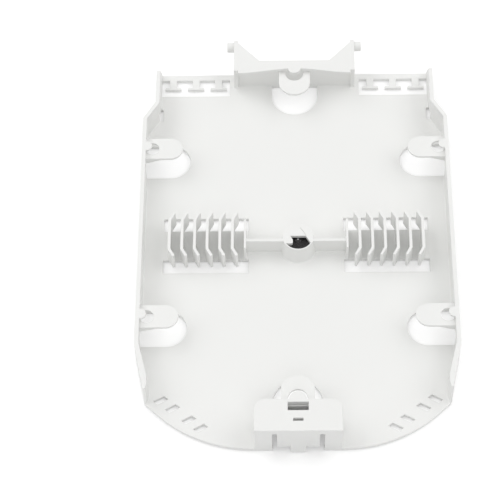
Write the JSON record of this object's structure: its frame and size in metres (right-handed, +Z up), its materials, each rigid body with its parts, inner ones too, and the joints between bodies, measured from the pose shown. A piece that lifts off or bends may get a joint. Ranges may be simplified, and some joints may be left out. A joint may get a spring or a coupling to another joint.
{
  "type": "fibre splice tray",
  "caption": "Shallow hinged tray with two combs of bent fins that hold fibre splice sleeves, lid tabs along its sides and a sprung latch block at the front.",
  "frame": {"origin": "middle of the overall length and width, on the flat underside", "axes": "+Y towards the hinge pegs, +X to the right seen from the latch block, +Z up out of the open face"},
  "size_m": [0.112, 0.1708, 0.014],
  "materials": {
    "white_plastic": "white moulded plastic with a fine satin grain",
    "black_plastic": "black plastic, slightly glossy"
  },
  "bodies": {
    "root": {"tray": "white_plastic", "centre_insert": "black_plastic"}
  },
  "joints": []
}
